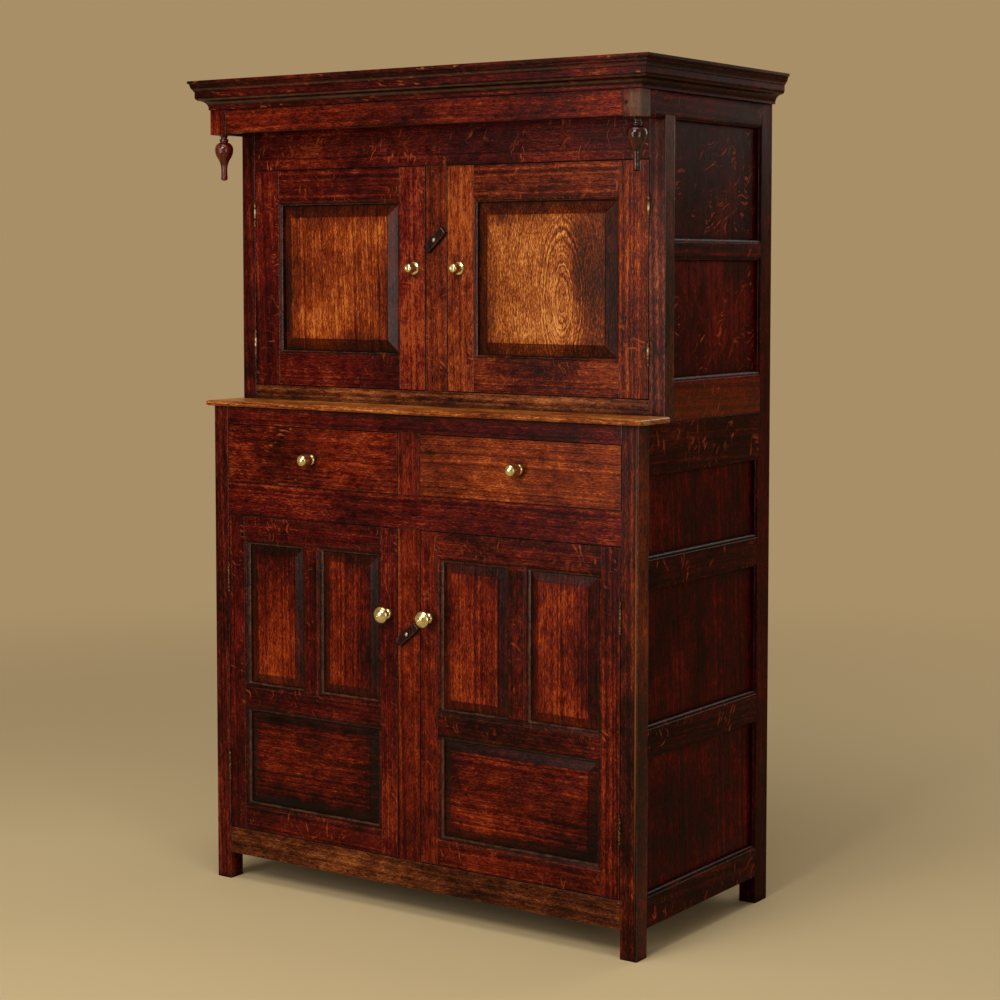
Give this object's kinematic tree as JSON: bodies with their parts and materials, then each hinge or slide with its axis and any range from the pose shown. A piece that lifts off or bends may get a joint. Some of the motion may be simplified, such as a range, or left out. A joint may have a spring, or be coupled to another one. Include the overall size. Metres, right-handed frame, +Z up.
{
  "type": "court cupboard",
  "caption": "Two-stage joined oak court cupboard with fielded doors, drawers, turned pendants and brass knobs",
  "frame": {"origin": "on the floor under the middle of the overall box, knobs included", "axes": "+Z up, the cupboard stands on its four post feet; the front faces -Y; +X to the right seen from the front"},
  "size_m": [1.277, 0.634, 1.924],
  "materials": {
    "polished_oak": "old waxed and stained oak",
    "inner_oak": "unpolished, aged",
    "dark_wood": "dark, waxed",
    "brass": "polished",
    "steel_screw": "worn bright"
  },
  "bodies": {
    "cabinet": {"corner_blocks": "polished_oak", "cornice_front": "polished_oak", "cornice_returns": "polished_oak", "drawer_divider": "polished_oak", "drawer_rail": "polished_oak", "drawer_runners": "inner_oak", "frieze_rail": "polished_oak", "hinge_fixed_leaves": "brass", "lower_back_boards": "inner_oak", "lower_bottom_rail": "polished_oak", "lower_floor_boards": "inner_oak", "lower_muntin": "polished_oak", "lower_post_front_left": "polished_oak", "lower_post_front_right": "polished_oak", "lower_posts_rear": "polished_oak", "lower_rear_rails": "inner_oak", "lower_side_panels": "polished_oak", "lower_side_rails": "polished_oak", "lower_top_boards": "inner_oak", "lower_top_rail": "polished_oak", "pendant_left": "polished_oak", "pendant_right": "polished_oak", "top_boards": "inner_oak", "turn_button_screws": "steel_screw", "upper_back_boards": "inner_oak", "upper_bottom_rail": "polished_oak", "upper_floor_boards": "inner_oak", "upper_muntin": "polished_oak", "upper_post_front_left": "polished_oak", "upper_post_front_right": "polished_oak", "upper_posts_rear": "polished_oak", "upper_rear_rails": "inner_oak", "upper_side_panels": "polished_oak", "upper_side_rails": "polished_oak", "upper_top_rail": "polished_oak", "waist_board": "polished_oak"},
    "drawer_left": {"drawer_left_box": "inner_oak", "drawer_left_front": "polished_oak", "drawer_left_knob": "brass"},
    "drawer_right": {"drawer_right_box": "inner_oak", "drawer_right_front": "polished_oak", "drawer_right_knob": "brass"},
    "lower_door_left": {"lower_door_left_frame": "polished_oak", "lower_door_left_hinge_leaves": "brass", "lower_door_left_knob": "brass", "lower_door_left_panels": "polished_oak"},
    "lower_door_right": {"lower_door_right_frame": "polished_oak", "lower_door_right_hinge_leaves": "brass", "lower_door_right_knob": "brass", "lower_door_right_panels": "polished_oak"},
    "lower_turn_button": {"lower_turn_button": "dark_wood"},
    "upper_door_left": {"upper_door_left_frame": "polished_oak", "upper_door_left_hinge_leaves": "brass", "upper_door_left_knob": "brass", "upper_door_left_panel": "polished_oak"},
    "upper_door_right": {"upper_door_right_frame": "polished_oak", "upper_door_right_hinge_leaves": "brass", "upper_door_right_knob": "brass", "upper_door_right_panel": "polished_oak"},
    "upper_turn_button": {"upper_turn_button": "dark_wood"}
  },
  "joints": [
    {"name": "upper_door_left_hinge", "type": "hinge", "parent": "cabinet", "child": "upper_door_left", "pos_m": [-0.554, -0.167, 1.4555], "axis": [0, 0, -1], "range_deg": [0, 90]},
    {"name": "upper_door_right_hinge", "type": "hinge", "parent": "cabinet", "child": "upper_door_right", "pos_m": [0.554, -0.167, 1.4555], "axis": [0, 0, 1], "range_deg": [0, 90]},
    {"name": "lower_door_left_hinge", "type": "hinge", "parent": "cabinet", "child": "lower_door_left", "pos_m": [-0.552, -0.274, 0.509], "axis": [0, 0, -1], "range_deg": [0, 110]},
    {"name": "lower_door_right_hinge", "type": "hinge", "parent": "cabinet", "child": "lower_door_right", "pos_m": [0.552, -0.274, 0.509], "axis": [0, 0, 1], "range_deg": [0, 110]},
    {"name": "drawer_left_slide", "type": "slide", "parent": "cabinet", "child": "drawer_left", "axis": [0, -1, 0], "range_m": [0, 0.36]},
    {"name": "drawer_right_slide", "type": "slide", "parent": "cabinet", "child": "drawer_right", "axis": [0, -1, 0], "range_m": [0, 0.36]},
    {"name": "upper_turn_button_pivot", "type": "hinge", "parent": "cabinet", "child": "upper_turn_button", "pos_m": [-0.011, -0.166, 1.544], "axis": [0, -1, 0], "continuous": true},
    {"name": "lower_turn_button_pivot", "type": "hinge", "parent": "cabinet", "child": "lower_turn_button", "pos_m": [-0.011, -0.273, 0.6505], "axis": [0, -1, 0], "continuous": true}
  ]
}
